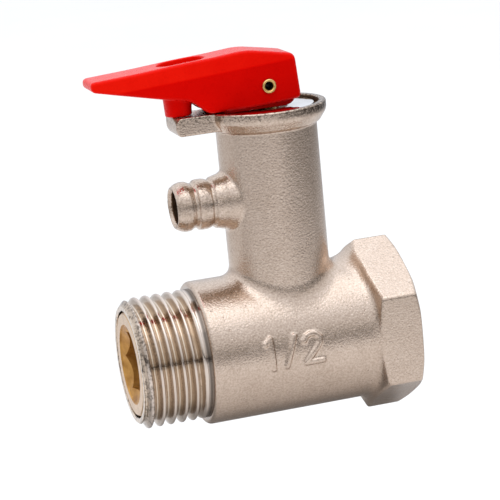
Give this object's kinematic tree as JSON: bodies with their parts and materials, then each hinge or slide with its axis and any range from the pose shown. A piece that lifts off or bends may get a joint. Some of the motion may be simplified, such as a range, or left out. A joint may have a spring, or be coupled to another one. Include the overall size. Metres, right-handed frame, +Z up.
{
  "type": "pressure relief valve",
  "caption": "Nickel-plated brass relief valve with a male and a hexagon female pipe end, a side hose barb, and a red test lever pinned over its sprung tower.",
  "frame": {"origin": "centre of the heater-side hexagon's end face, on the pipe's axis", "axes": "+X out of the heater socket along the pipe, +Z up the relief tower, Y across the pipe; the supply thread points along -X"},
  "size_m": [0.047, 0.0248, 0.0619],
  "materials": {
    "nickel_plate": "nickel plated, fine blasted, threads bright",
    "brass": "machined",
    "gasket_fibre": "matt",
    "washer_steel": "stamped",
    "check_rubber": "matt",
    "acetal_white": "moulded",
    "check_spring_steel": "drawn wire",
    "guide_acetal": "moulded",
    "screw_brass": "machined",
    "seal_rubber": "matt",
    "holder_brass": "machined",
    "stem_brass": "machined",
    "spring_steel": "drawn wire",
    "spring_washer_steel": "stamped",
    "o_ring_rubber": "smooth",
    "gland_brass": "machined",
    "polished_steel": "mirror polished",
    "red_plastic": "glossy moulded",
    "pin_brass": "rolled rivet"
  },
  "bodies": {
    "valve": {"valve_body": "nickel_plate", "inlet_bush": "brass", "bush_gasket": "gasket_fibre", "check_spring": "check_spring_steel", "check_guide": "guide_acetal", "relief_spring": "spring_steel", "spring_washer": "spring_washer_steel", "stem_o_ring": "o_ring_rubber", "spring_gland": "gland_brass", "cover_disc": "polished_steel"},
    "stem": {"lift_stem": "stem_brass", "seal_holder": "holder_brass", "relief_seal": "seal_rubber", "seal_screw": "screw_brass"},
    "lever": {"lever": "red_plastic", "pivot_pin": "pin_brass"},
    "check": {"check_poppet": "acetal_white", "check_seal": "check_rubber", "check_washer": "washer_steel"}
  },
  "joints": [
    {"name": "stem_lift", "type": "slide", "parent": "valve", "child": "stem", "axis": [0, 0, 1], "range_m": [0, 0.002], "stiffness_N_per_m": 2000, "springref_m": -0.002, "deforming": ["relief_spring"]},
    {"name": "lever_swing", "type": "hinge", "parent": "stem", "child": "lever", "pos_m": [-0.01905, 0, 0.04175], "axis": [0, 1, 0], "range_deg": [0, 60]},
    {"name": "check_slide", "type": "slide", "parent": "valve", "child": "check", "axis": [1, 0, 0], "range_m": [0, 0.003], "stiffness_N_per_m": 100, "springref_m": -0.002, "deforming": ["check_spring"]}
  ],
  "couplings": [
    {"joint": "lever_swing", "follows": "stem_lift", "rad_per_m": 523.6}
  ]
}
